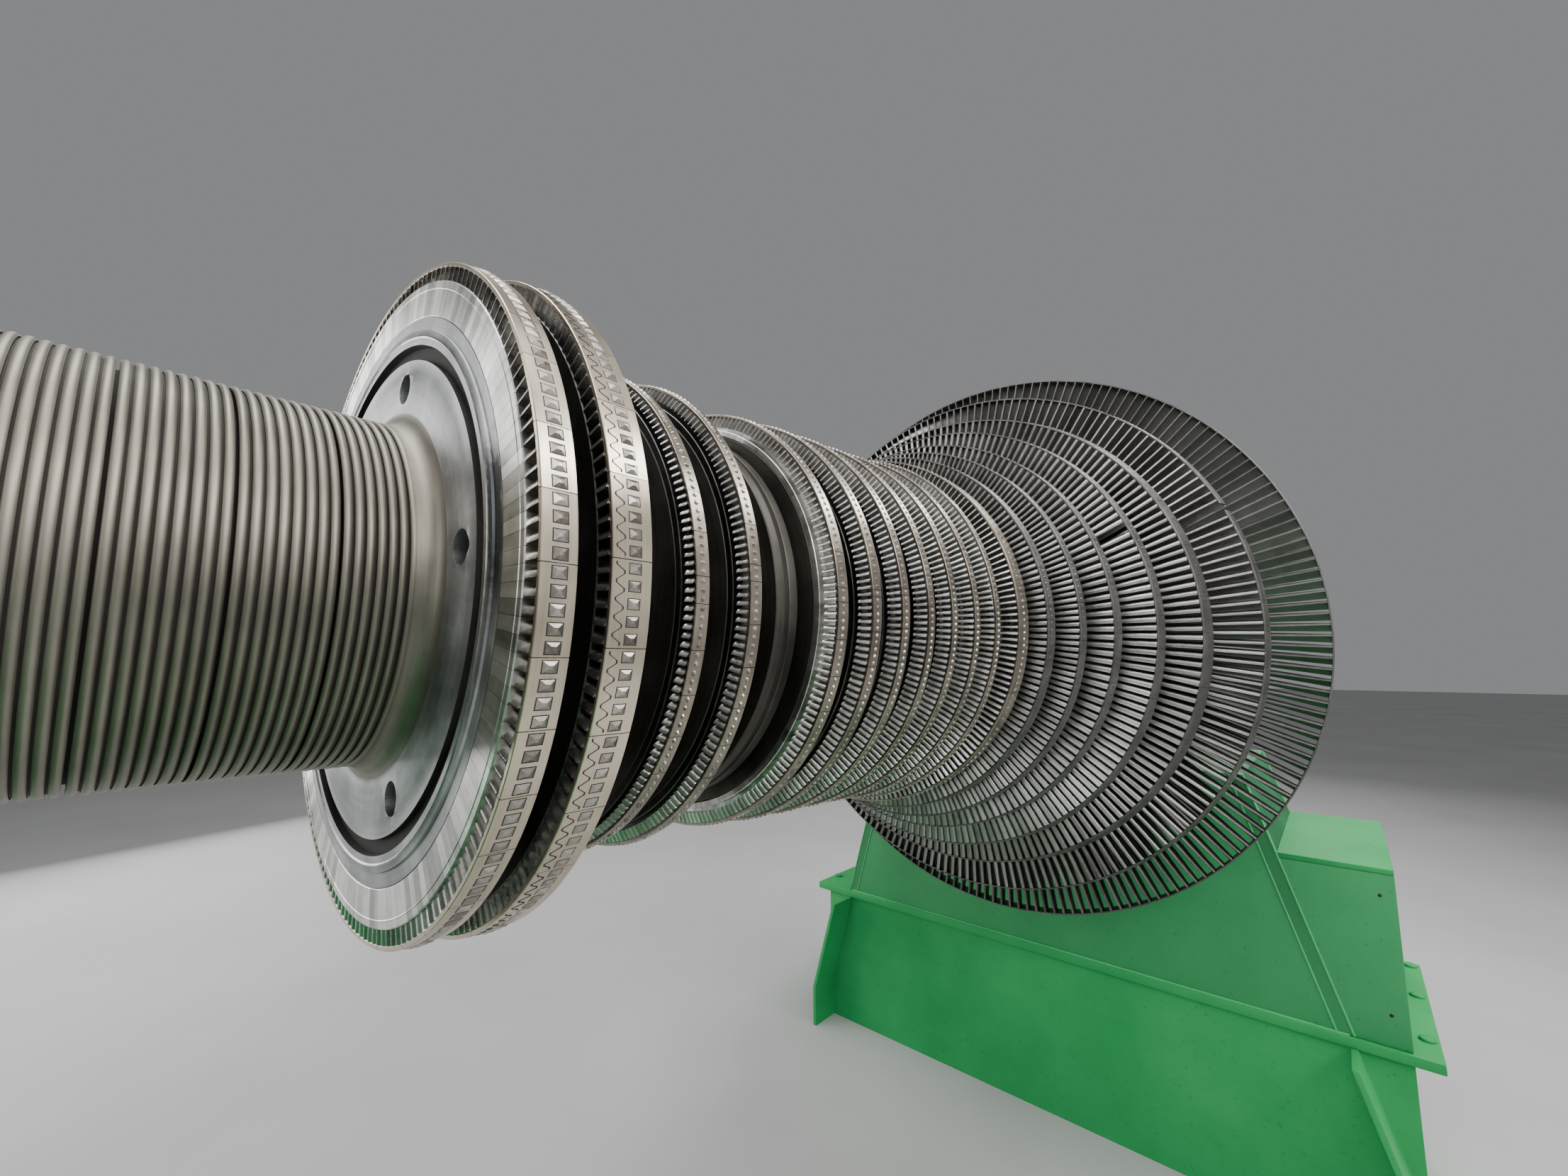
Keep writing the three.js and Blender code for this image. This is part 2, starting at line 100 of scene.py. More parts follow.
ROWS = [
    Row(-1653.5, 366, 308, 346, 37, 31, 160, (5, 4, 4), -11.6, CONTROL),
    Row(-1592.5, 373, 318, 351, 40, 39, 160, (5,), -10.2, CONTROL),
    Row(-1468, 318, 292, 306.6, 30, 18, 208, (5,), 2.0, SHORT),
    Row(-1395, 324, 293, 307.5, 30, 18, 212, (5,), 5.5, SHORT),
    Row(-1236.5, 328, 294, 308, 36, 21, 212, (5,), 3.3, SHORT),
    Row(-1165, 334, 297, 311.5, 34, 20, 216, (5,), 3.7, SHORT),
    Row(-1093.5, 337, 299, 313.5, 34, 19, 216, (5,), 5.0, SHORT),
    Row(-1020, 339, 300, 314.5, 34, 18, 216, (5,), 1.2, SHORT),
    Row(-947.5, 342, 301, 315.5, 34, 19, 212, (5,), 6.4, SHORT),
    Row(-874.5, 347, 303, 317.5, 34, 18, 214, (5,), 2.9, SHORT),
    Row(-809.5, 356, 305, 319.5, 34, 19, 212, (5,), 0.4, SHORT),
    Row(-731, 372, 310, 324.5, 46, 44, 196, (10,), 8.1, SHORT),
    Row(-660, 398, 320, 328, 46, 34, 194, (6,), 4.0, MEDIUM, (0, 1)),
    Row(-575, 431, 332, 340, 48, 34, 214, (6,), 12.0, MEDIUM, (0, 1)),
    Row(-483, 471, 346, 354, 52, 42, 174, (6,), 9.9, MEDIUM, (0, 2)),
    Row(-388, 530, 364, 372, 60, 42, 190, (6,), 2.0, MEDIUM, (-1, 4)),
    Row(-276, 595, 388, 396, 70, 46, 190, (6,), 6.0, TALL, (-1, 9)),
    Row(-160, 693, 425, 433, 84, 36, 190, (6,), 0.0, LONG, (-3, 3)),
    Row(21, 800, 466, 474, 110, 42, 194, (194,), 0.0, LAST),
]


# Places and parts of a mesh


def place(station, radius, turn=0.0):
    """The point at a station, radius and turn in degrees, in metres."""
    angle = math.radians(turn)
    return Vector((
        (station + DATUM) * MM,
        -radius * MM * math.cos(angle),
        AXIS_HEIGHT + radius * MM * math.sin(angle),
    ))


def station_radius(point):
    """The station and radius of a point in metres, in millimetres."""
    return point.x / MM - DATUM, math.hypot(point.y, point.z - AXIS_HEIGHT) / MM


def verts_of(parts):
    return [part for part in parts if isinstance(part, bmesh.types.BMVert)]


def faces_of(parts):
    return [part for part in parts if isinstance(part, bmesh.types.BMFace)]


def linked_object(name, data):
    """A new object in the scene."""
    made = bpy.data.objects.new(name, data)
    bpy.context.scene.collection.objects.link(made)
    return made


def mesh_of(name, bm):
    """Turns a bmesh into a mesh and frees it."""
    mesh = bpy.data.meshes.new(name)
    bm.to_mesh(mesh)
    bm.free()
    return mesh


def finished(name, bm, materials, body, sharp=35, recalculate=True):
    """Turns a bmesh into a piece of the object, with seams and edges sharper than an angle left crisp."""
    if recalculate:
        bmesh.ops.recalc_face_normals(bm, faces=bm.faces)
    limit = math.radians(sharp)
    for face in bm.faces:
        face.smooth = True
    for edge in bm.edges:
        edge.smooth = not edge.seam and len(edge.link_faces) == 2 and edge.calc_face_angle(0) < limit
    mesh = mesh_of(name, bm)
    for material in materials:
        mesh.materials.append(material)
    piece = linked_object(name, mesh)
    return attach(piece, body)


def zoned(bm, *zones):
    """Gives each face the material number of the first zone of stations and radii that its middle is in."""
    for face in bm.faces:
        station, radius = station_radius(face.calc_center_median())
        for number, (start, end), (low, high) in zones:
            if start < station < end and low < radius < high:
                face.material_index = number
                break


# Ways to shape metal


def softened(profile, cut):
    """An open line of [station, radius] corners with each inner corner cut off at both sides."""
    most = 0.4
    corners = [Vector(point) for point in profile]
    soft = [corners[0]]
    for before, corner, after in zip(corners, corners[1:], corners[2:]):
        for end in (before, after):
            way = end - corner
            soft.append(corner + way * min(cut / way.length, most))
    soft.append(corners[-1])
    return soft


def stepped(start, *steps):
    """Corners of plain cylinders in a line from a station, each by its end station and its radius."""
    corners = []
    for end, radius in steps:
        corners += [(start, radius), (end, radius)]
        start = end
    return corners


def bar(front, back, inner, outer, cut):
    """Corners of a chamfered rectangular section between two stations and two radii."""
    return [
        (front + cut, inner), (back - cut, inner), (back, inner + cut), (back, outer - cut),
        (back - cut, outer), (front + cut, outer), (front, outer - cut), (front, inner + cut),
    ]


def turned(bm, profile, steps, closed=False):
    """Spins a [station, radius] line over a whole turn: an open one that starts and ends on the axis into a
    solid, or a closed one into a ring."""
    line = [bm.verts.new(place(*point)) for point in profile]
    ends = line[1:] + line[:1] if closed else line[1:]
    edges = [bm.edges.new(pair) for pair in zip(line, ends)]
    bmesh.ops.spin(
        bm, geom=line + edges, cent=AXIS_POINT, axis=AXIS_DIRECTION, angle=TURN, steps=steps, use_merge=True,
    )
    bmesh.ops.remove_doubles(bm, verts=bm.verts, dist=1e-6)


def arc(bm, profile, start, sweep, steps):
    """Spins a closed [station, radius] outline over part of a turn into a closed segment."""
    face = bm.faces.new([bm.verts.new(place(*point, start)) for point in profile])
    bmesh.ops.spin(
        bm, geom=[face, *face.edges, *face.verts], cent=AXIS_POINT, axis=AXIS_DIRECTION,
        angle=math.radians(sweep), steps=steps,
    )


def spanned_bar(bm, outline, spans):
    """Grows a flat outline into a closed bar, one unit for each span. Its points then go to their places."""
    end = bm.faces.new([bm.verts.new((*corner, 0)) for corner in outline])
    for _ in range(spans):
        grown = bmesh.ops.extrude_face_region(bm, geom=[end, *end.edges])["geom"]
        end = faces_of(grown)[0]
        bmesh.ops.translate(bm, verts=verts_of(grown), vec=(0, 0, 1))


def rod(bm, centre, radii, depth, segments, turn=STANDING):
    """A closed round bar about a centre in metres, with its radii below and above, standing or turned."""
    low, high = radii
    bmesh.ops.create_cone(
        bm, cap_ends=True, segments=segments, radius1=low * MM, radius2=high * MM, depth=depth * MM,
        matrix=Matrix.Translation(centre) @ turn,
    )


def copied_round(bm, count, first_turn):
    """Spreads copies of a bmesh's shape evenly round the axis. Returns each copy's turn and parts."""
    shape = [*bm.faces, *bm.edges, *bm.verts]
    copies = []
    for number in range(count):
        parts = shape if number == count - 1 else bmesh.ops.duplicate(bm, geom=shape)["geom"]
        turn = first_turn + number * 360 / count
        bmesh.ops.rotate(
            bm, verts=verts_of(parts), cent=AXIS_POINT,
            matrix=Matrix.Rotation(math.radians(turn), 3, AXIS_DIRECTION),
        )
        copies.append((turn % 360, parts))
    return copies


def toned_copies(bm, count, first_turn, seed):
    """Spreads copies of a bmesh's shape round the axis, each with its own tone."""
    rng = random.Random(seed)
    tone = bm.faces.layers.float.new("tone")
    copies = copied_round(bm, count, first_turn)
    for _, parts in copies:
        shade = rng.random()
        for face in faces_of(parts):
            face[tone] = shade
    return copies


def drilled(piece, station, depth, circle, radius, first, holes):
    """Cuts a circle of holes along the axis into a piece."""
    drills = bmesh.new()
    for hole in range(holes):
        centre = place(station, circle, first + 360 / holes * hole)
        rod(drills, centre, (radius, radius), depth, 32, ALONG_ROTOR)
    drill = linked_object("drills", mesh_of("drills", drills))
    cut = piece.modifiers.new("holes", "BOOLEAN")
    cut.operation = "DIFFERENCE"
    cut.object = drill
    cut.solver = "EXACT"
    graph = bpy.context.evaluated_depsgraph_get()
    bored = bpy.data.meshes.new_from_object(
        piece.evaluated_get(graph), preserve_all_data_layers=True, depsgraph=graph,
    )
    piece.modifiers.clear()
    piece.data = bored
    bpy.data.objects.remove(drill)


# Materials


class Finish:
    """A procedural metal or paint, built node by node. Its lengths are in metres."""

    def __init__(self, name, metallic, roughness):
        self.material = bpy.data.materials.new(name)
        self.material.use_nodes = True
        self.tree = self.material.node_tree
        self.shader = self.tree.nodes["Principled BSDF"]
        self.shader.inputs["Metallic"].default_value = metallic
        self.shader.inputs["Roughness"].default_value = roughness
        self.position = self.tree.nodes.new("ShaderNodeTexCoord").outputs["Object"]
        split = self.tree.nodes.new("ShaderNodeSeparateXYZ")
        self.tree.links.new(self.position, split.inputs[0])
        self.along, self.across, self.height = split.outputs

    def node(self, kind, inputs, output=0, **settings):
        made = self.tree.nodes.new(kind)
        for name, value in settings.items():
            setattr(made, name, value)
        for socket, value in inputs.items():
            if isinstance(value, bpy.types.NodeSocket):
                self.tree.links.new(value, made.inputs[socket])
            else:
                made.inputs[socket].default_value = value
        return made.outputs[output]

    def math(self, operation, *values):
        return self.node("ShaderNodeMath", dict(enumerate(values)), operation=operation)

    def product(self, first, *others):
        for other in others:
            first = self.math("MULTIPLY", first, other)
        return first

    def mix(self, share, first, second, blend="MIX"):
        inputs = {0: share, 6: first, 7: second}
        return self.node("ShaderNodeMix", inputs, output=2, data_type="RGBA", blend_type=blend)

    def ramp(self, share, *stops):
        """A colour ramp of (position, brightness or colour) stops."""
        made = self.tree.nodes.new("ShaderNodeValToRGB")
        elements = made.color_ramp.elements
        while len(elements) < len(stops):
            elements.new(0.5)
        for element, (position, colour) in zip(elements, stops):
            element.position = position
            element.color = (*colour, 1) if isinstance(colour, tuple) else (colour, colour, colour, 1)
        self.tree.links.new(share, made.inputs[0])
        return made.outputs[0]

    def noise(self, vector, scale, detail, roughness=0.5):
        inputs = {"Vector": vector, "Scale": scale, "Detail": detail, "Roughness": roughness}
        return self.node("ShaderNodeTexNoise", inputs)

    def vector(self, x, y, z):
        return self.node("ShaderNodeCombineXYZ", {0: x, 1: y, 2: z})

    def cylinder(self):
        """Radius and turn about the rotor's axis."""
        rise = self.math("SUBTRACT", self.height, AXIS_HEIGHT)
        squares = self.math("ADD", self.math("POWER", self.across, 2.0), self.math("POWER", rise, 2.0))
        return self.math("SQRT", squares), self.math("ARCTAN2", rise, self.product(self.across, -1.0))

    def turned_grain(self, fine):
        """Fine lines that run round the axis, as a lathe leaves them."""
        coarse = 6.0
        radius, _ = self.cylinder()
        line = self.product(self.math("ADD", self.along, radius), fine)
        across, height = (self.product(way, coarse) for way in (self.across, self.height))
        return self.noise(self.vector(line, across, height), 1.0, 3.0, 0.6)

    def radial_sheen(self, fine):
        """Brightness that changes with the turn alone: painted sheen for the streaks of reflection that run
        out along the radius of a turned face.
        """
        _, angle = self.cylinder()
        x, y = (self.product(self.math(way, angle), fine) for way in ("SINE", "COSINE"))
        return self.noise(self.vector(x, y, 0.0), 1.0, 3.0, 0.65)

    def colour(self, value):
        self.tree.links.new(value, self.shader.inputs["Base Color"])

    def roughness(self, value):
        self.tree.links.new(value, self.shader.inputs["Roughness"])

    def bump(self, height, depth, strength):
        inputs = {"Height": height, "Distance": depth, "Strength": strength}
        self.tree.links.new(self.node("ShaderNodeBump", inputs), self.shader.inputs["Normal"])

    def spread(self, value, low, high):
        """A value of 0 to 1 carried over to another range."""
        return self.node("ShaderNodeMapRange", {0: value, 1: 0.0, 2: 1.0, 3: low, 4: high})

    def fade(self, value, none, whole):
        """A share that grows from 0 to 1 between two limits of a value."""
        return self.node("ShaderNodeMapRange", {0: value, 1: none, 2: whole, 3: 0.0, 4: 1.0})

    def tone(self):
        """The tone that a piece's faces carry, one for each blade, block or tenon."""
        return self.node("ShaderNodeAttribute", {}, output=2, attribute_name="tone")

    def blend(self, *pairs):
        """A weighted sum of values."""
        total = 0.0
        for value, weight in pairs:
            total = self.math("MULTIPLY_ADD", value, weight, total)
        return total


def turned_steel(name, dark, light, fine, rough, cloud):
    """Turned steel: fine grain round the axis, clouds of tone and uneven shine."""
    finish = Finish(name, 1.0, sum(rough) / 2)
    lines = finish.turned_grain(fine)
    clouds = finish.noise(finish.position, cloud, 5.0, 0.6)
    tone = finish.blend((lines, 0.3), (clouds, 0.7))
    finish.colour(finish.ramp(tone, (0.36, dark), (0.64, light)))
    finish.roughness(finish.spread(clouds, *rough))
    finish.bump(lines, 0.00003, 0.5)
    return finish.material


def toned_steel(name, dark, light, rough, grain=60.0):
    """Steel of many like parts: each has its own tone, with mottled deposits."""
    finish = Finish(name, 1.0, sum(rough) / 2)
    mottle = finish.noise(finish.position, grain, 5.0, 0.65)
    clouds = finish.noise(finish.position, 9.0, 3.0)
    tone = finish.blend((finish.tone(), 0.3), (mottle, 0.35), (clouds, 0.35))
    finish.colour(finish.ramp(tone, (0.3, dark), (0.7, light)))
    finish.roughness(finish.spread(mottle, *rough))
    finish.bump(mottle, 0.0001, 0.3)
    return finish.material


# Where the dark paint left on the web fades in and out: two radii in metres, and two turns in radians
PATCH_INSIDE, PATCH_OUTSIDE = (0.282, 0.287), (0.313, 0.305)
PATCH_LOW, PATCH_HIGH = (-0.14, 0.02), (0.4, 0.26)
PATCH_COLOUR, PATCH_COVER = (0.035, 0.037, 0.042, 1), 0.9


def web_finish():
    """Blasted face of the control wheel: bluish grey clouds, and ragged dark paint left near the roots."""
    finish = Finish("web_steel", 1.0, 0.45)
    clouds = finish.noise(finish.position, 13.0, 6.0, 0.62)
    streaks = finish.turned_grain(240.0)
    tone = finish.blend((clouds, 0.8), (streaks, 0.2))
    metal = finish.ramp(
        tone, (0.36, (0.22, 0.225, 0.235)), (0.5, (0.35, 0.355, 0.36)), (0.64, (0.52, 0.525, 0.53)),
    )
    radius, angle = finish.cylinder()
    rag = finish.math("SUBTRACT", finish.noise(finish.position, 34.0, 5.0, 0.7), 0.5)
    edge = finish.math("MULTIPLY_ADD", rag, 0.03, radius)
    sweep = finish.math("MULTIPLY_ADD", rag, 0.5, angle)
    in_radius = finish.product(finish.fade(edge, *PATCH_INSIDE), finish.fade(edge, *PATCH_OUTSIDE))
    in_turn = finish.product(finish.fade(sweep, *PATCH_LOW), finish.fade(sweep, *PATCH_HIGH))
    patch = finish.product(in_radius, in_turn, PATCH_COVER)
    finish.colour(finish.mix(patch, metal, PATCH_COLOUR))
    finish.roughness(finish.spread(clouds, 0.36, 0.56))
    finish.bump(clouds, 0.0004, 0.25)
    return finish.material


def root_finish():
    """Polished root blocks: bright, with blotches of painted sheen that run out along the radius."""
    finish = Finish("root_steel", 1.0, 0.25)
    # Painted reflection: radial streaks of sheen in the colour, which also set the roughness
    radial_sheen = finish.radial_sheen(9.0)
    mottle = finish.noise(finish.position, 40.0, 4.0, 0.6)
    tone = finish.blend((finish.tone(), 0.22), (radial_sheen, 0.5), (mottle, 0.28))
    metal = finish.ramp(tone, (0.34, (0.3, 0.3, 0.29)), (0.5, (0.58, 0.57, 0.54)), (0.6, (0.8, 0.79, 0.76)))
    finish.colour(metal)
    finish.roughness(finish.spread(radial_sheen, 0.2, 0.46))
    finish.bump(mottle, 0.0001, 0.3)
    return finish.material


def seam_finish():
    """Black dirt packed into seams and scribed lines, also used as painted shadow round the tenon heads."""
    finish = Finish("seam_dirt_and_painted_shadow", 0.0, 0.75)
    mottle = finish.noise(finish.position, 120.0, 4.0, 0.6)
    finish.colour(finish.ramp(mottle, (0.35, (0.008, 0.007, 0.006)), (0.65, (0.03, 0.027, 0.023))))
    finish.roughness(finish.spread(mottle, 0.65, 0.85))
    finish.bump(mottle, 0.0001, 0.3)
    return finish.material


def paint_finish(name, dark, light, shine=0.3):
    """Machinery paint: slight orange peel, scuffs and faint dirt."""
    finish = Finish(name, 0.0, 0.5)
    finish.shader.inputs["Specular IOR Level"].default_value = shine
    patches = finish.noise(finish.position, 3.2, 5.0, 0.6)
    specks = finish.noise(finish.position, 90.0, 3.0, 0.6)
    base = finish.ramp(patches, (0.3, dark), (0.7, light))
    dirt = finish.ramp(specks, (0.28, 0.72), (0.37, 1.0))
    finish.colour(finish.mix(1.0, base, dirt, "MULTIPLY"))
    finish.roughness(finish.spread(patches, 0.45, 0.62))
    finish.bump(specks, 0.0003, 0.25)
    return finish.material


# Dark and light colour, how fine the lathe's lines are, the range of roughness, and how fine the clouds are
gland_steel = turned_steel("gland_steel", (0.175, 0.163, 0.132), (0.32, 0.3, 0.25), 150.0, (0.42, 0.58), 6.0)
# Painted shade: a near black finish for the floors of grooves and the mouths of holes
groove_painted_shade = turned_steel("groove_painted_shade", (0.03, 0.028, 0.025), (0.07, 0.065, 0.06), 150.0, (0.6, 0.8), 9.0)
shaft_steel = turned_steel("shaft_steel", (0.05, 0.046, 0.04), (0.14, 0.13, 0.115), 160.0, (0.42, 0.62), 8.0)
journal_steel = turned_steel("journal_steel", (0.45, 0.45, 0.45), (0.62, 0.62, 0.61), 900, (0.16, 0.26), 8.0)
band_steel = turned_steel("band_steel", (0.44, 0.38, 0.295), (0.72, 0.63, 0.5), 700.0, (0.24, 0.38), 9.0)
short_band_steel = turned_steel(
    "short_band_steel", (0.2, 0.172, 0.14), (0.42, 0.365, 0.3), 500.0, (0.28, 0.42), 16.0,
)
dull_band_steel = turned_steel(
    "dull_band_steel", (0.1, 0.098, 0.092), (0.19, 0.185, 0.175), 300.0, (0.4, 0.55), 20.0,
)
block_steel = turned_steel("block_steel", (0.2, 0.2, 0.2), (0.4, 0.4, 0.39), 60.0, (0.35, 0.5), 8.0)
liner_metal = turned_steel("liner_metal", (0.5, 0.48, 0.42), (0.7, 0.67, 0.58), 800.0, (0.25, 0.4), 8.0)
web_steel = web_finish()
root_steel = root_finish()
seam_dirt_and_painted_shadow = seam_finish()

# Dark and light colour, the range of roughness, and how fine the deposits are where that differs
dark_root_steel = toned_steel("dark_root_steel", (0.06, 0.058, 0.054), (0.22, 0.215, 0.2), (0.25, 0.42))
control_blade_steel = toned_steel("control_blade_steel", (0.35, 0.34, 0.325), (0.75, 0.74, 0.71), (0.2, 0.36))
# Painted light: the short rows' blades are nearly white, standing in for light that the lamps don't bring to
# them
short_blade_painted_light = toned_steel("short_blade_painted_light", (0.46, 0.45, 0.425), (0.86, 0.85, 0.82), (0.28, 0.44))
long_blade_steel = toned_steel("long_blade_steel", (0.24, 0.235, 0.224), (0.5, 0.49, 0.47), (0.26, 0.42))
# Painted shade: darker copies of the blade steel for the tall and last rows, whose faces lie in shade
tall_blade_painted_shade = toned_steel("tall_blade_painted_shade", (0.16, 0.157, 0.148), (0.34, 0.333, 0.315), (0.28, 0.44))
last_blade_painted_shade = toned_steel("last_blade_painted_shade", (0.11, 0.107, 0.1), (0.23, 0.225, 0.213), (0.46, 0.62))
tenon_steel = toned_steel("tenon_steel", (0.17, 0.145, 0.125), (0.56, 0.53, 0.48), (0.28, 0.44), 200.0)
dull_tenon_steel = toned_steel(
    "dull_tenon_steel", (0.06, 0.058, 0.055), (0.2, 0.195, 0.185), (0.35, 0.5), 200.0,
)

# Dark and light colour, and the shine where that differs
green_paint = paint_finish("green_paint", (0.026, 0.25, 0.08), (0.04, 0.31, 0.105))
# Painted light: a lighter copy of the green for the plates that face up, as lit from above
painted_lit_green = paint_finish("painted_lit_green", (0.02, 0.28, 0.075), (0.035, 0.35, 0.105), 0.18)
# Painted shade: a darker copy of the green for the side strips, which stand for side faces in shade
painted_shade_green = paint_finish("painted_shade_green", (0.022, 0.205, 0.066), (0.033, 0.255, 0.088))
# A darker copy of the green for the casing: painted shade and grime
grime_and_painted_shade_green = paint_finish("grime_and_painted_shade_green", (0.012, 0.1, 0.035), (0.022, 0.16, 0.06))
# A lighter green for the weld beads: painted highlight on real beads at the plate edges
painted_highlight_green_bead = paint_finish("painted_highlight_green_bead", (0.05, 0.4, 0.14), (0.08, 0.48, 0.18))


# Forging: stations from the front end to the coupling face, and radii

STUB_START, STUB_RADIUS = -2930, 90
COLLAR_START, COLLAR_END, COLLAR_RADIUS = -2730, -2690, 205
JOURNAL_RADIUS, NECK_RADIUS = 125, 118
FRONT_JOURNAL_START, FRONT_JOURNAL_END = -2620, -2330
GLAND_START, GLAND_END, GLAND_RADIUS = -2215, -1694, 186
GLAND_FILLET = 20
WHEEL_FACE, WHEEL_BACK, RIM_GROOVE_RADIUS = -1674, -1550, 294
SHAFT_START_RADIUS, SHAFT_END_RADIUS = 196, 262
HUB_END, HUB_RADIUS = 130, 300
EXHAUST_START, EXHAUST_GLAND_START, EXHAUST_GLAND_END, EXHAUST_LAND_END = 150, 200, 400, 430
EXHAUST_GLAND_RADIUS = 178
REAR_JOURNAL_END = 730
COUPLING_START, COUPLING_END, COUPLING_RADIUS = 928, 990, 270
RECESS_RADIUS, RECESS_DEPTH = 90, 6

# A ridge's shoulder as steps along and down, and the half width and depth of the two kinds of groove
RIDGE_SHOULDER = ((0, 2.0), (0.8, 0.9), (1.9, 0.25), (3.2, 0))
SHALLOW_GROOVE, DEEP_GROOVE = (0.85, 3.6), (1.2, 10)

# How far a gland starts below its ridges, and how far below them a face takes the near black groove colour,
# which is painted shade
RIDGE_FOOT, GROOVE_SHADE_DEPTH = 4, 2.4

# The face that the control wheel shows under its roots, as steps behind the wheel's face and radii
WEB_RIM = (
    (0, 245), (1, 247), (1, 261.5), (6.5, 262.5), (6.5, 276), (0, 277.5),
    (0, 284.5), (-1.4, 286), (-0.6, 287.5), (0, 293.5), (2.2, 294.2), (2.2, 308),
)

# The wheel that carries no blades: where it starts, the end station and radius of each step, and its foot
BARE_WHEEL_START, BARE_WHEEL_FOOT = -1313, 250
BARE_WHEEL_STEPS = ((-1297, 280), (-1288, 277), (-1272, 280), (-1266, 262))


def ridge_profile(start, end, radius, pitch, deep_at, deep_every):
    """Rounded sealing ridges between narrow grooves, with a deep groove after each group."""
    points = [(start, radius - RIDGE_FOOT)]
    station, count = start, math.ceil((start - deep_at) / pitch + 0.2)
    while deep_at + count * pitch < end - pitch * 0.3:
        groove = deep_at + count * pitch
        half, depth = SHALLOW_GROOVE if count % deep_every else DEEP_GROOVE
        points += [(station + step, radius - drop) for step, drop in RIDGE_SHOULDER]
        points += [(groove - half - step, radius - drop) for step, drop in reversed(RIDGE_SHOULDER)]
        points += [(groove - half, radius - depth), (groove + half, radius - depth)]
        station = groove + half
        count += 1
    return points + [(station + step, radius - drop) for step, drop in RIDGE_SHOULDER] + [(end, radius)]


def build_gland_shaft():
    """The front of the rotor: end stub, thrust collar, journal and gland."""
    plain = softened([
        (STUB_START, 0),
        *stepped(
            STUB_START, (COLLAR_START, STUB_RADIUS), (COLLAR_END, COLLAR_RADIUS),
            (FRONT_JOURNAL_START, NECK_RADIUS), (FRONT_JOURNAL_END, JOURNAL_RADIUS),
            (GLAND_START, NECK_RADIUS),
        ),
        (GLAND_START, GLAND_RADIUS - RIDGE_FOOT),
    ], 2.5)
    ridges_in_group = 8
    pitch, deep_at = 68.75 / ridges_in_group, -1751
    ridges = ridge_profile(GLAND_START, GLAND_END, GLAND_RADIUS, pitch, deep_at, ridges_in_group)
    bm = bmesh.new()
    turned(bm, [*plain, *ridges[1:], (GLAND_END, 0)], 96)
    zoned(
        bm,
        (1, (COLLAR_START - 5, FRONT_JOURNAL_END + 5), EVERYWHERE),
        # Faces deep in the gland's grooves take the near black finish: painted shade
        (2, (GLAND_START + 2, math.inf), (170, GLAND_RADIUS - GROOVE_SHADE_DEPTH)),
    )
    return finished("gland_shaft", bm, [gland_steel, journal_steel, groove_painted_shade], "rotor")


def build_control_wheel():
    """The wheel of the two control rows: front web with its rings, both rims and the five balance holes."""
    first, second = ROWS[:2]
    fillet = []
    for step in range(9):
        angle = TURN / 4 * step / 8
        fillet.append((
            GLAND_END + GLAND_FILLET * math.sin(angle), GLAND_RADIUS + GLAND_FILLET * (1 - math.cos(angle)),
        ))
    front = [(WHEEL_FACE + step, radius) for step, radius in WEB_RIM]
    back = softened([
        front[-1], (first.back, first.rim),
        (first.back, RIM_GROOVE_RADIUS), (second.front, RIM_GROOVE_RADIUS),
        (second.front, second.rim), (second.back, second.rim), (-1560, 216),
        (WHEEL_BACK, SHAFT_START_RADIUS), (WHEEL_BACK, 0),
    ], 1.5)
    bm = bmesh.new()
    turned(bm, [(GLAND_END, 0), *fillet, *front, *back[1:]], 144)
    zoned(
        bm,
        (1, (-math.inf, WHEEL_FACE - 0.5), (-math.inf, GLAND_RADIUS + GLAND_FILLET)),
        # The groove in the web under the roots takes the near black finish: painted shade
        (2, (-math.inf, WHEEL_FACE + 8), (261, 277.6)),
        # The thin chamfer at radius 286 takes the bright root finish: a painted highlight line along a real
        # edge
        (3, (-math.inf, WHEEL_FACE - 0.3), (284, 288)),
        (4, (WHEEL_FACE + 3, math.inf), EVERYWHERE),
    )
    materials = [web_steel, gland_steel, groove_painted_shade, root_steel, shaft_steel]
    wheel = finished("control_wheel", bm, materials, "rotor", 30)
    drilled(wheel, station=-1620, depth=240, circle=230, radius=17, first=6, holes=5)
    return wheel


def shaft_radius(station):
    """Radius of the shaft between the wheels, which grows towards the exhaust end."""
    start, end = -1560, 0
    growth = SHAFT_END_RADIUS - SHAFT_START_RADIUS
    return SHAFT_START_RADIUS + growth * max((station - start) / (end - start), 0)


def build_wheels():
    """Wheels three to nineteen on their shaft, with the stepped wheel that carries no blades."""
    points = [(WHEEL_BACK, 0), (WHEEL_BACK, SHAFT_START_RADIUS)]
    for number, row in enumerate(ROWS[2:], 3):
        radius = shaft_radius(row.at)
        if number == 5:
            points.append((BARE_WHEEL_START, shaft_radius(BARE_WHEEL_START)))
            points += stepped(BARE_WHEEL_START, *BARE_WHEEL_STEPS, (row.front, BARE_WHEEL_FOOT))
        else:
            points.append((row.front, radius))
        points += [(row.front, row.rim), (row.back, row.rim), (row.back, radius)]
    points[-1] = (ROWS[-1].back, HUB_RADIUS)
    points += [(HUB_END, HUB_RADIUS), (EXHAUST_START, EXHAUST_GLAND_RADIUS), (EXHAUST_START, 0)]
    bm = bmesh.new()
    turned(bm, softened(points, 1.6), 128)
    # The groove in the bare wheel takes the near black finish: painted shade
    zoned(bm, (1, (-1297.5, -1287.5), (-math.inf, 279)))
    return finished("wheels", bm, [shaft_steel, groove_painted_shade], "rotor", 30)


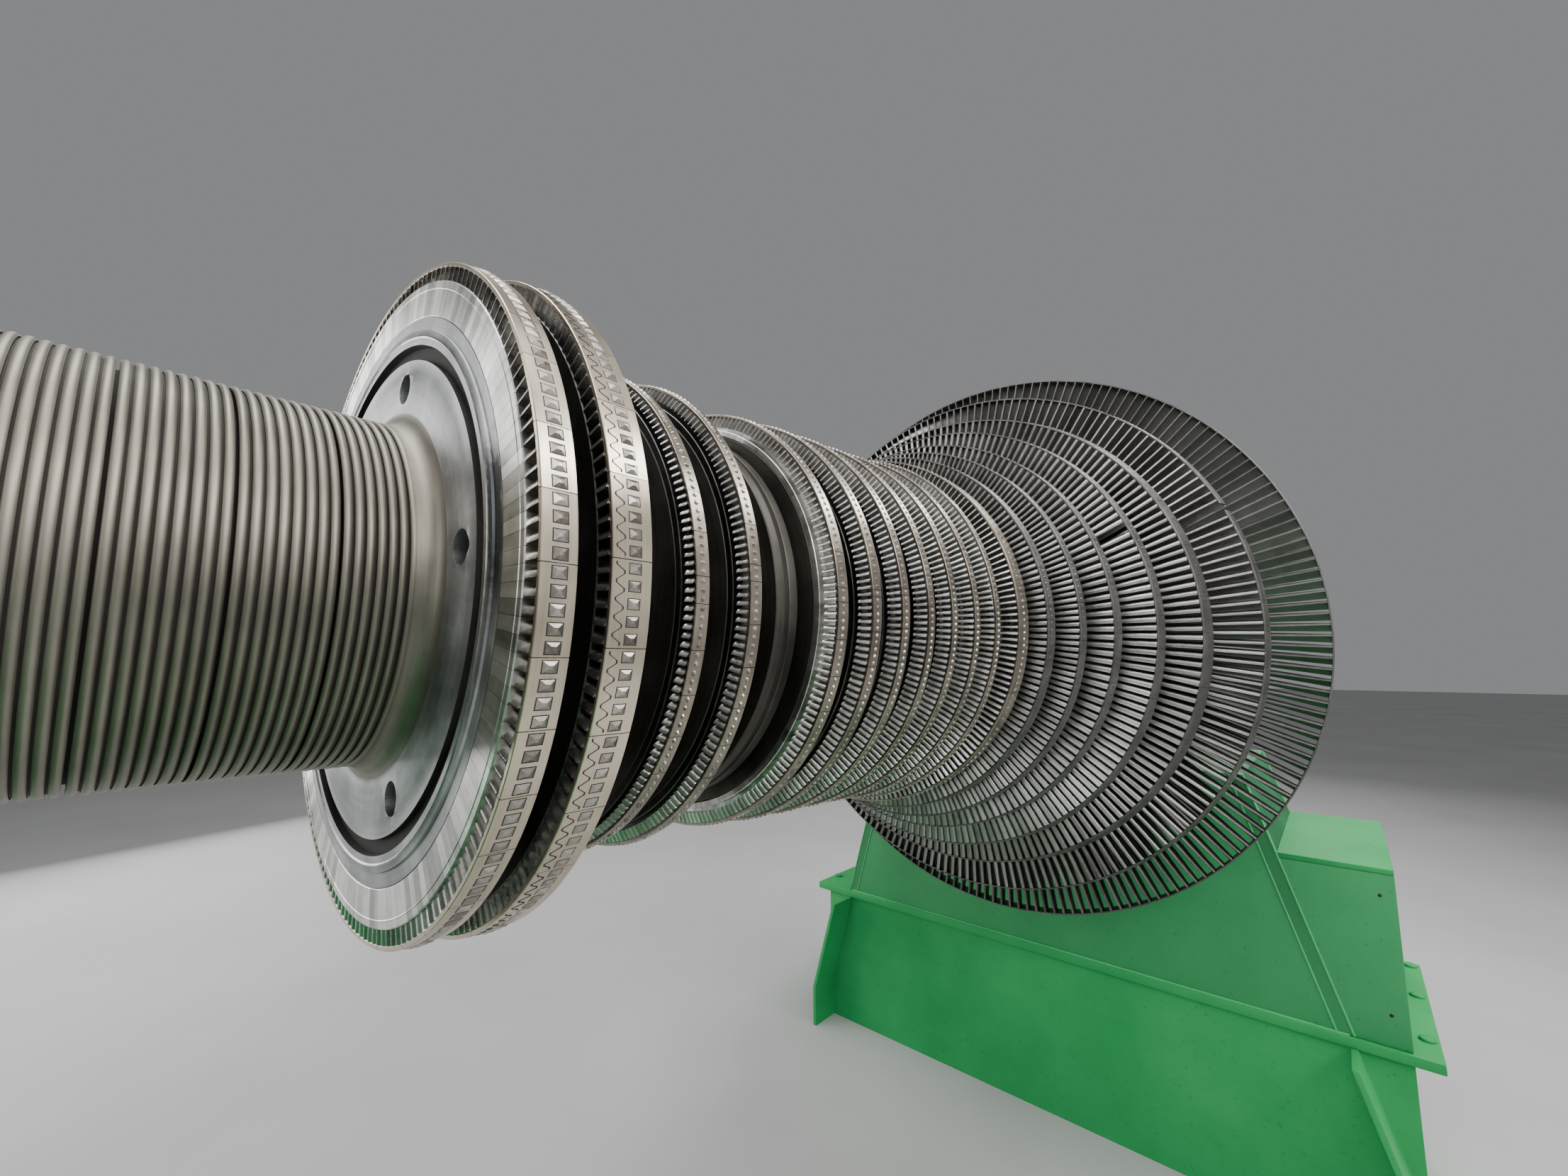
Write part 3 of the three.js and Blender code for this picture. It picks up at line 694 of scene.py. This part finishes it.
def build_exhaust_shaft():
    """The rear of the rotor: exhaust gland, journal, and the coupling flange with its bolt holes."""
    pitch, deep_at, ridges_in_group = 9, 260, 7
    ridges = ridge_profile(
        EXHAUST_GLAND_START, EXHAUST_GLAND_END, EXHAUST_GLAND_RADIUS, pitch, deep_at, ridges_in_group,
    )
    tail = softened([
        *stepped(
            EXHAUST_GLAND_END, (EXHAUST_LAND_END, EXHAUST_GLAND_RADIUS), (REAR_JOURNAL_END, JOURNAL_RADIUS),
            (COUPLING_START, NECK_RADIUS), (COUPLING_END, COUPLING_RADIUS),
        ),
        (COUPLING_END, RECESS_RADIUS), (COUPLING_END - RECESS_DEPTH, RECESS_RADIUS - 4),
        (COUPLING_END - RECESS_DEPTH, 0),
    ], 3)
    land = stepped(EXHAUST_START, (EXHAUST_GLAND_START, EXHAUST_GLAND_RADIUS))
    bm = bmesh.new()
    turned(bm, [(EXHAUST_START, 0), *land, *ridges, *tail[1:]], 96)
    zoned(
        bm,
        (1, (EXHAUST_LAND_END + 1, REAR_JOURNAL_END - 1), EVERYWHERE),
        (1, (COUPLING_START + 1, math.inf), EVERYWHERE),
        # Faces deep in the exhaust gland's grooves take the near black finish: painted shade
        (2, (EXHAUST_GLAND_START + 1, EXHAUST_GLAND_END), (160, EXHAUST_GLAND_RADIUS - GROOVE_SHADE_DEPTH)),
    )
    materials = [gland_steel, journal_steel, groove_painted_shade]
    shaft = finished("exhaust_shaft", bm, materials, "rotor")
    middle = (COUPLING_START + COUPLING_END) / 2
    drilled(shaft, station=middle, depth=80, circle=215, radius=24, first=15, holes=12)
    return shaft


# Blades, roots and bands

# Share of the width, then how much of the bow, of the trailing carry, of the nose and of the middle applies
SECTION = (
    (0, 0, 0, 0.8, 0),
    (0.045, 0.42, 0, 0.7, 0.45),
    (0.13, 0.8, 0, 0.1, 0.95),
    (0.3, 0.98, 0, 0, 1),
    (0.6, 0.9, 0.1, 0, 0.75),
    (1, 0, 1, 0, 0.12),
)

# How far a blade's leading edge lies from the middle of its place, as a share of the pitch
BLADE_SHIFT = 0.3

# The gap over a rim, half the gap between two pieces of band, and the bands' thickness
RIM_GAP, SPLIT_GAP = 0.3, 0.35
CONTROL_BAND, BAND = 5, 4

# How deep a tenon is sunk in the band, then its size along and round the band, whole height and sides
TENON_SUNK = 0.4
ROUND_TENON = ((6.6, 6.6), 2.2, 8)
FLAT_TENON = ((7, 5), 1.2, 8)
# Under each control tenon a thin dark frame, a little larger than the head, is painted shadow
FIRST_TENON, FIRST_SHADOW_FRAME = ((13, 10), 2.4, 4), ((15.5, 12), 0.9, 4)
SECOND_TENON, SECOND_SHADOW_FRAME = ((12, 9), 2.4, 4), ((14.2, 10.8), 0.9, 4)

# Turns where a blade has gone, by row, and where the band over it has broken away
MISSING_BLADES = {16: (23.6, 25.4), 18: (22.6, 24.4)}
BROKEN_BANDS = {18: (22.7, 24.3)}


def build_blades(number, row, spans, widths, band_height, material):
    """A row of curved blades from the foot radius up to the underside of the band, crisp at each span."""
    bm = bmesh.new()
    columns = range(len(SECTION))
    outline = [(index, 1) for index in columns] + [(index, -1) for index in reversed(columns)]
    spanned_bar(bm, outline, spans)
    for edge in bm.edges:
        low, high = edge.verts
        edge.seam = low.co.z == high.co.z
    for vert in bm.verts:
        index, side, level = vert.co
        rise = level / spans
        share, bow_part, carry_part, nose_part, middle_part = SECTION[round(index)]
        bow, carry, nose, middle = (foot + (tip - foot) * rise for foot, tip in zip(*row.shape))
        width = widths[0] + (widths[1] - widths[0]) * rise
        station = row.at + (share - 0.5) * width
        radius = row.foot + (row.crown_radius(station) - band_height - row.foot) * rise
        offset = bow * bow_part + carry * carry_part + side / 2 * (nose * nose_part + middle * middle_part)
        vert.co = place(station, radius, (offset - BLADE_SHIFT) * 360 / row.blades)
    bmesh.ops.recalc_face_normals(bm, faces=bm.faces)
    low, high = MISSING_BLADES.get(number, NOWHERE)
    for turn, parts in toned_copies(bm, row.blades, row.split + 180 / row.blades, row.blades + row.tip):
        if low < turn < high:
            bmesh.ops.delete(bm, geom=verts_of(parts))
    name = f"blades_{number:02d}"
    blades = finished(name, bm, [material], "rotor", 40, recalculate=False)
    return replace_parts(blades, f"blade_row_{number:02d}")


def build_root_blocks(number, row, outline, blocks, gap):
    """Blade roots as separate blocks side by side round the rim."""
    bm = bmesh.new()
    slit = math.degrees(gap / row.foot)
    arc(bm, outline, row.split + slit / 2, 360 / blocks - slit, 1)
    toned_copies(bm, blocks, 0, row.tip)
    return finished(f"roots_{number:02d}", bm, [root_steel], "rotor", 30)


def build_root_ring(number, outline):
    bm = bmesh.new()
    turned(bm, outline, 128, closed=True)
    return finished(f"roots_{number:02d}", bm, [dark_root_steel], "rotor", 30)


def lipped(row):
    """Outline of the first row's root blocks, with a thin raised line round their front face."""
    low = row.rim + RIM_GAP
    line, proud = 338, 0.5
    return [
        (row.front + 1, low), (row.back, low), (row.back, row.foot - 1), (row.back - 1, row.foot),
        (row.front + 1, row.foot), (row.front, row.foot - 1), (row.front, line + 1),
        (row.front - proud, line + 0.4), (row.front - proud, line - 0.4), (row.front, line - 1),
        (row.front, low + 1),
    ]


def necked(row):
    """Outline of a root ring with a recessed neck under short blades."""
    neck, cut = row.crown * 0.35, 0.8
    low, shoulder = row.rim + RIM_GAP, row.foot - 6
    return [
        (row.front, low), (row.front, shoulder - cut), (row.front + cut, shoulder), (row.at - neck, shoulder),
        (row.at - neck, row.foot), (row.at + neck, row.foot), (row.at + neck, shoulder),
        (row.back - cut, shoulder), (row.back, shoulder - cut), (row.back, low),
    ]


def plain_root(row):
    """Outline of a root ring of one height."""
    return bar(row.front, row.back, row.rim + RIM_GAP, row.foot, 1.0)


def build_band(number, row, thick, material):
    """A shroud band in segments of several blades each."""
    bm = bmesh.new()
    pitch = 360 / row.blades
    slit = 0 if row.segments[0] == row.blades else math.degrees(SPLIT_GAP / row.tip)
    square = bar(row.at - row.crown / 2, row.at + row.crown / 2, -thick, -0.2, 0.7)
    outline = [(station, row.crown_radius(station) + height) for station, height in square]
    low, high = BROKEN_BANDS.get(number, NOWHERE)
    blade = segment = 0
    while blade < row.blades:
        size = min(row.segments[segment % len(row.segments)], row.blades - blade)
        start, sweep = row.split + blade * pitch + slit, size * pitch - 2 * slit
        if start < low < start + sweep:
            sweep = low - start
        elif low < start < high:
            start, sweep = high, start + sweep - high
        arc(bm, outline, start, sweep, size)
        blade += size
        segment += 1
    return finished(f"band_{number:02d}", bm, [material], "rotor", 30)


def build_tenons(name, row, station, form, material):
    """The peened head of each blade's tenon on the outside of the band, or a thin flat frame under each head,
    which carries painted shadow.
    """
    size, height, sides = form
    reach, roof = (math.sqrt(2) / 2, 0.3) if sides == 4 else (0.5, 0.45)
    bm = bmesh.new()
    bmesh.ops.create_cone(
        bm, cap_ends=True, segments=sides, radius1=reach, radius2=reach * roof, depth=1.0,
        matrix=Matrix.Rotation(TURN / 4, 4, "X") @ Matrix.Rotation(TURN / 8, 4, "Z"),
    )
    bmesh.ops.scale(bm, verts=bm.verts, vec=(size[0] * MM, height * MM, size[1] * MM))
    middle = row.crown_radius(station) - TENON_SUNK + height / 2
    bmesh.ops.translate(bm, verts=bm.verts, vec=place(station, middle))
    toned_copies(bm, row.blades, row.split + 180 / row.blades, row.blades + sides)
    return finished(name, bm, [material], "rotor", 30)


def build_wave(name, row, station, reach, wide):
    """A thin dark scribed line that waves once per tenon and breaks where the band is split."""
    low, high = -0.4, 0.12
    steps = 6
    tenons = row.segments[0]
    bm = bmesh.new()
    spanned_bar(bm, [(-1, low), (1, low), (1, high), (-1, high)], tenons * steps - 2)
    for vert in bm.verts:
        side, lift, level = vert.co
        wave = (level + 1) / steps
        middle = station + reach * math.sin(TURN * wave)
        vert.co = place(middle + side * wide / 2, row.tip + lift, wave * 360 / row.blades)
    copied_round(bm, row.blades // tenons, row.split)
    return finished(name, bm, [seam_dirt_and_painted_shadow], "rotor", 30)


def build_control_row(number, row):
    """A row of the control stage, under a thick band whose tenons are made apart."""
    width = row.crown + 2
    build_blades(number, row, 1, (width, width), CONTROL_BAND, control_blade_steel)
    band = build_band(number, row, CONTROL_BAND, band_steel)
    if number == 1:
        build_root_blocks(number, row, lipped(row), row.blades, 0.35)
    else:
        build_root_ring(number, plain_root(row))
    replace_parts(band, f"shroud_band_{number:02d}")


def build_short_row(number, row):
    """A short row, whose blades are wider than the band and taper towards it."""
    widths = (row.crown + 13, row.crown + 4)
    build_blades(number, row, 2, widths, BAND, short_blade_painted_light)
    build_band(number, row, BAND, short_band_steel)
    if number == 5:
        build_root_blocks(number, row, necked(row), row.blades // 2, 0.2)
    else:
        build_root_ring(number, necked(row))
    build_tenons(f"tenons_{number:02d}", row, row.at, ROUND_TENON, tenon_steel)


def build_tall_row(number, row, material, spans=4):
    """A taller row of twisted blades, whose feet cover most of the root ring."""
    build_blades(number, row, spans, (row.root * 0.92, row.crown + 3), BAND, material)
    build_band(number, row, BAND, dull_band_steel)
    build_root_ring(number, plain_root(row))


def build_rows():
    """All nineteen rows, with the tenons that rivet their bands."""
    for number, row in enumerate(ROWS, 1):
        if number < 3:
            build_control_row(number, row)
        elif number < 13:
            build_short_row(number, row)
        elif number < 19:
            build_tall_row(number, row, long_blade_steel if number < 17 else tall_blade_painted_shade)
            build_tenons(f"tenons_{number:02d}", row, row.at, FLAT_TENON, dull_tenon_steel)
        else:
            build_tall_row(number, row, last_blade_painted_shade, spans=5)


def build_control_tenons():
    """The large square tenons of the two control rows over thin dark frames of painted shadow, and the second
    band's line.
    """
    first, second = ROWS[:2]
    first_line, second_line = -1653.2, -1590
    build_tenons("tenons_01", first, first_line, FIRST_TENON, tenon_steel)
    build_tenons("tenons_02", second, second_line, SECOND_TENON, tenon_steel)
    # Painted shadow: dark frames under the control tenons
    build_tenons("tenon_shadow_frames_01", first, first_line, FIRST_SHADOW_FRAME, seam_dirt_and_painted_shadow)
    build_tenons("tenon_shadow_frames_02", second, second_line, SECOND_SHADOW_FRAME, seam_dirt_and_painted_shadow)
    build_wave("scribed_line_02", second, station=-1604, reach=4.4, wide=1.1)


# Pedestals: heights from the solids, and how far things lie from the pedestal's middle

FLANGE_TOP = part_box("exhaust_flange_plate")[1][2] / MM
UPRIGHT_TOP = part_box("exhaust_casing")[1][2] / MM
UPRIGHT_HALF_WIDTH, UPRIGHT_TAPER = 762, 183
STRIP_WIDTH, STRIP_SUNK, STRIP_PROUD = 33, 1, 0.6
EDGE_INSET, FOOT_INSET, TOP_INSET = 2, 2, 4
EDGE_BEAD, FOOT_BEAD, FOOT_BEAD_REACH = 2.6, 4, 750
FLANGE_BOLT_STATIONS, FLANGE_BOLT_SIDE = (-210, 60, 289), 893
FLANGE_BOLT_RADIUS, FLANGE_BOLT_HEIGHT = 16, 9
BLOCK_BOLT_STATION, BLOCK_BOLT_SIDE, BLOCK_BOLT_MIDDLE = 55, 295, 1165.3
BLOCK_BOLT_RADIUS, BLOCK_BOLT_HEIGHT = 20, 30
TAPPED_HOLES = ((-833, 850), (-831, 574))
TAPPED_HOLE_RADIUS, TAPPED_HOLE_DEPTH = 4, 0.8

# A domed head's radius and height, as shares of the whole, from the foot up
DOME = ((1.0, -0.05), (1.0, 0.35), (0.96, 0.6), (0.8, 0.82), (0.45, 0.97))


def soft_plate(node, width, material):
    """A plate of the pedestal with its edges rounded, apart from those that stand on the floor."""
    flat, sharp = math.radians(1), math.radians(20)
    bm = bmesh.new()
    bm.from_mesh(frame["nodes"][node].data)
    bmesh.ops.remove_doubles(bm, verts=bm.verts, dist=1e-5)
    bmesh.ops.dissolve_limit(bm, angle_limit=flat, verts=bm.verts, edges=bm.edges)
    standing = [face for face in bm.faces if face.calc_center_median().z < MM]
    bmesh.ops.triangulate(bm, faces=standing)
    edges = [
        edge for edge in bm.edges
        if edge.calc_face_angle(0) > sharp and max(vert.co.z for vert in edge.verts) > MM
    ]
    bmesh.ops.bevel(
        bm, geom=edges, offset=width * MM, affect="EDGES", segments=2, profile=0.5, material=-1,
        clamp_overlap=True,
    )
    piece = finished(f"{node}_piece", bm, [material], "stand", 50)
    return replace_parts(piece, node)


def weld(bm, start, end, radius):
    """A weld bead as a thin rod between two points in metres."""
    way = Vector(end) - Vector(start)
    turn = way.to_track_quat("Z", "X").to_matrix().to_4x4()
    rod(bm, (Vector(start) + Vector(end)) / 2, (radius, radius), way.length / MM, 8, turn)


def strip(bm, x, corners, face):
    """A flat strip over four corners of an end plate, a little sunk into it and a little proud of it,
    standing for a side face in shade.
    """
    low, lower, high, higher = (bm.verts.new((x - face * STRIP_SUNK * MM, *corner)) for corner in corners)
    grown = bmesh.ops.extrude_face_region(bm, geom=[bm.faces.new((low, lower, higher, high))])["geom"]
    bmesh.ops.translate(bm, verts=verts_of(grown), vec=(face * (STRIP_SUNK + STRIP_PROUD) * MM, 0, 0))


def dome(bm, foot, radius, height):
    """A domed bolt head that stands on a point of a level face, given in metres."""
    for (wide, low), (narrow, high) in zip(DOME, DOME[1:]):
        centre = foot + Vector((0, 0, (low + high) / 2 * height * MM))
        rod(bm, centre, (radius * wide, radius * narrow), (high - low) * height, 20)


def side_line(height, inset):
    """Half the upright's width at a height, less an inset."""
    share = (height - FLANGE_TOP) / (UPRIGHT_TOP - FLANGE_TOP)
    return UPRIGHT_HALF_WIDTH - UPRIGHT_TAPER * share - inset


def end_faces(end):
    """The way that each end plate of an upright faces, and how far along the rotor it lies, in metres."""
    boxes = [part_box(f"{end}_{plate}") for plate in ("front_plate", "rear_plate")]
    return (-1, min(low[0] for low, _ in boxes)), (1, max(high[0] for _, high in boxes))


def build_plates(end):
    """The plates in their three greens, the upward plates lighter as painted light and the casing darker as
    painted shade and grime, and the bearing.
    """
    for part in ("base", "flange_plate", "shelf"):
        soft_plate(f"{end}_{part}", 2, painted_lit_green)
    for part in ("front_plate", "rear_plate", "side_wall"):
        soft_plate(f"{end}_{part}", 2, green_paint)
    soft_plate(f"{end}_casing", 2, grime_and_painted_shade_green)
    soft_plate(f"{end}_bearing_block", 3, block_steel)
    soft_plate(f"{end}_bearing_liner", 1, liner_metal)


def build_seams(end):
    """Weld beads in a lighter green as painted highlight, and side strips in a darker green as painted shade,
    on both end plates.
    """
    beads, strips = bmesh.new(), bmesh.new()
    ledge = FLANGE_TOP * MM
    for face, x in end_faces(end):
        for side in (-1, 1):
            corners = [
                (side * side_line(height, inset) * MM, height * MM)
                for height in (FLANGE_TOP + FOOT_INSET, UPRIGHT_TOP - TOP_INSET)
                for inset in (EDGE_INSET + STRIP_WIDTH, EDGE_INSET)
            ]
            strip(strips, x, corners, face)
            inner_foot, outer_foot, inner_top, outer_top = corners
            weld(beads, (x, *inner_foot), (x, *inner_top), EDGE_BEAD)
            weld(beads, (x, *outer_foot), (x, *outer_top), EDGE_BEAD)
            weld(beads, (x, 0, ledge), (x, side * FOOT_BEAD_REACH * MM, ledge), FOOT_BEAD)
    # The weld beads carry painted highlight
    finished(f"{end}_weld_beads", beads, [painted_highlight_green_bead], "stand", 50)
    # The side strips carry painted shade
    finished(f"{end}_side_strips", strips, [painted_shade_green], "stand", 50)


def build_bolts(end, middle, inward):
    """Domed bolts along both sides of the flange plate, and hexagon bolts on the bearing block's foot."""
    flange, block = bmesh.new(), bmesh.new()
    for side in (-1, 1):
        for station in FLANGE_BOLT_STATIONS:
            foot = Vector((middle - inward * station * MM, side * FLANGE_BOLT_SIDE * MM, FLANGE_TOP * MM))
            dome(flange, foot, FLANGE_BOLT_RADIUS, FLANGE_BOLT_HEIGHT)
        for along in (-BLOCK_BOLT_STATION, BLOCK_BOLT_STATION):
            centre = (middle + along * MM, side * BLOCK_BOLT_SIDE * MM, BLOCK_BOLT_MIDDLE * MM)
            rod(block, centre, (BLOCK_BOLT_RADIUS, BLOCK_BOLT_RADIUS), BLOCK_BOLT_HEIGHT, 6)
    # The domed bolts take the lighter green of the flange: painted light
    finished(f"{end}_flange_bolts", flange, [painted_lit_green], "stand", 30)
    finished(f"{end}_block_bolts", block, [block_steel], "stand", 30)


def build_tapped_holes(end):
    """Dark discs in the mouths of the tapped holes beside the shelf: painted shade for the holes."""
    holes = bmesh.new()
    radii = (TAPPED_HOLE_RADIUS, TAPPED_HOLE_RADIUS)
    for _, x in end_faces(end):
        for y, z in TAPPED_HOLES:
            rod(holes, (x, y * MM, z * MM), radii, TAPPED_HOLE_DEPTH, 16, ALONG_ROTOR)
    finished(f"{end}_tapped_holes", holes, [groove_painted_shade], "stand", 30)


def build_pedestal(end, inward):
    """One pedestal. Inward is the way along the rotor to its middle, 1 or -1."""
    (_, front), (_, rear) = end_faces(end)
    build_plates(end)
    build_seams(end)
    build_bolts(end, (front + rear) / 2, inward)
    build_tapped_holes(end)


# Stage, lights and camera, in metres

FLOOR_REACH = 40
SKY_COLOUR, SKY_STRENGTH = (0.82, 0.83, 0.85, 1), 0.3
CAMERA_PLACE = (-0.9204, -0.8025, 1.4234)
CAMERA_YAW, CAMERA_PITCH, CAMERA_ROLL = 48.50, 6.73, -0.094
CAMERA_SENSOR, CAMERA_LENS = 36, 14.286
CAMERA_NEAR, CAMERA_FAR = 0.02, 100

# Where each light is, what it looks at, its width and height, and its watts
LIGHTS = {
    "top_strip": ((2.75, -2.3, 4.8), (0.6, 0, 1.5), (8.5, 0.45), 380),
    "top_lamp": ((-1.0, 1.1, 5.2), (0, 0, 1.5), (2.4, 1.2), 90),
    "far_panel": ((-1.9, 5.6, 2.4), (-0.6, 0, 1.5), (6, 4), 270),
    "front_lamp": ((-1.2, -0.9, 5.0), (-1.2, 0, 1.5), (4, 1.5), 75),
    "exhaust_panel": ((8.5, 1.5, 3.6), (0, 0.5, 1.5), (6, 3.5), 60),
    "near_panel": ((1.5, -4.6, 2.0), (0, 0, 1.5), (6, 3), 34),
    "camera_lamp": ((-1.6, -4.2, 4.2), (0, 0, 1.2), (4, 1.4), 150),
    "gland_panel": ((-6.5, -0.5, 2.8), (0, 0, 1.4), (4, 2.5), 110),
}


def build_floor():
    bm = bmesh.new()
    bmesh.ops.create_grid(bm, x_segments=1, y_segments=1, size=FLOOR_REACH)
    finish = Finish("floor_paint", 0.0, 0.7)
    tone = finish.noise(finish.position, 0.8, 4.0, 0.6)
    finish.colour(finish.ramp(tone, (0.3, (0.4, 0.4, 0.395)), (0.7, (0.46, 0.46, 0.455))))
    floor = linked_object("floor", mesh_of("floor", bm))
    floor.data.materials.append(finish.material)


def area_light(name, place_at, look_at, size, energy):
    data = bpy.data.lights.new(name, "AREA")
    data.shape = "RECTANGLE"
    data.size, data.size_y = size
    data.energy = energy
    light = linked_object(name, data)
    light.location = place_at
    light.rotation_mode = "QUATERNION"
    light.rotation_quaternion = (Vector(look_at) - Vector(place_at)).to_track_quat("-Z", "Y")


def build_world():
    world = bpy.data.worlds.new("studio")
    world.use_nodes = True
    background = world.node_tree.nodes["Background"]
    background.inputs["Color"].default_value = SKY_COLOUR
    background.inputs["Strength"].default_value = SKY_STRENGTH
    bpy.context.scene.world = world


def build_camera():
    """The camera as solved from the photo: yaw from +Y towards +X, pitch up, and roll."""
    yaw, pitch, roll = (math.radians(angle) for angle in (CAMERA_YAW, CAMERA_PITCH, CAMERA_ROLL))
    forward = Vector((math.sin(yaw) * math.cos(pitch), math.cos(yaw) * math.cos(pitch), math.sin(pitch)))
    right = Vector((math.cos(yaw), -math.sin(yaw), 0))
    up = right.cross(forward)
    level_right = right * math.cos(roll) + up * math.sin(roll)
    level_up = up * math.cos(roll) - right * math.sin(roll)
    turn = Matrix((level_right, level_up, -forward)).transposed()
    data = bpy.data.cameras.new("camera")
    data.sensor_width = CAMERA_SENSOR
    data.lens = CAMERA_LENS
    data.clip_start, data.clip_end = CAMERA_NEAR, CAMERA_FAR
    camera = linked_object("camera", data)
    camera.matrix_world = Matrix.Translation(CAMERA_PLACE) @ turn.to_4x4()
    bpy.context.scene.camera = camera


# The whole object

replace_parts(build_gland_shaft(), "rotor_forging")
build_control_wheel()
build_wheels()
build_exhaust_shaft()
build_rows()
build_control_tenons()
build_pedestal("exhaust", -1)
build_pedestal("gland", 1)

build_floor()
build_world()
build_camera()
for name, settings in LIGHTS.items():
    area_light(name, *settings)
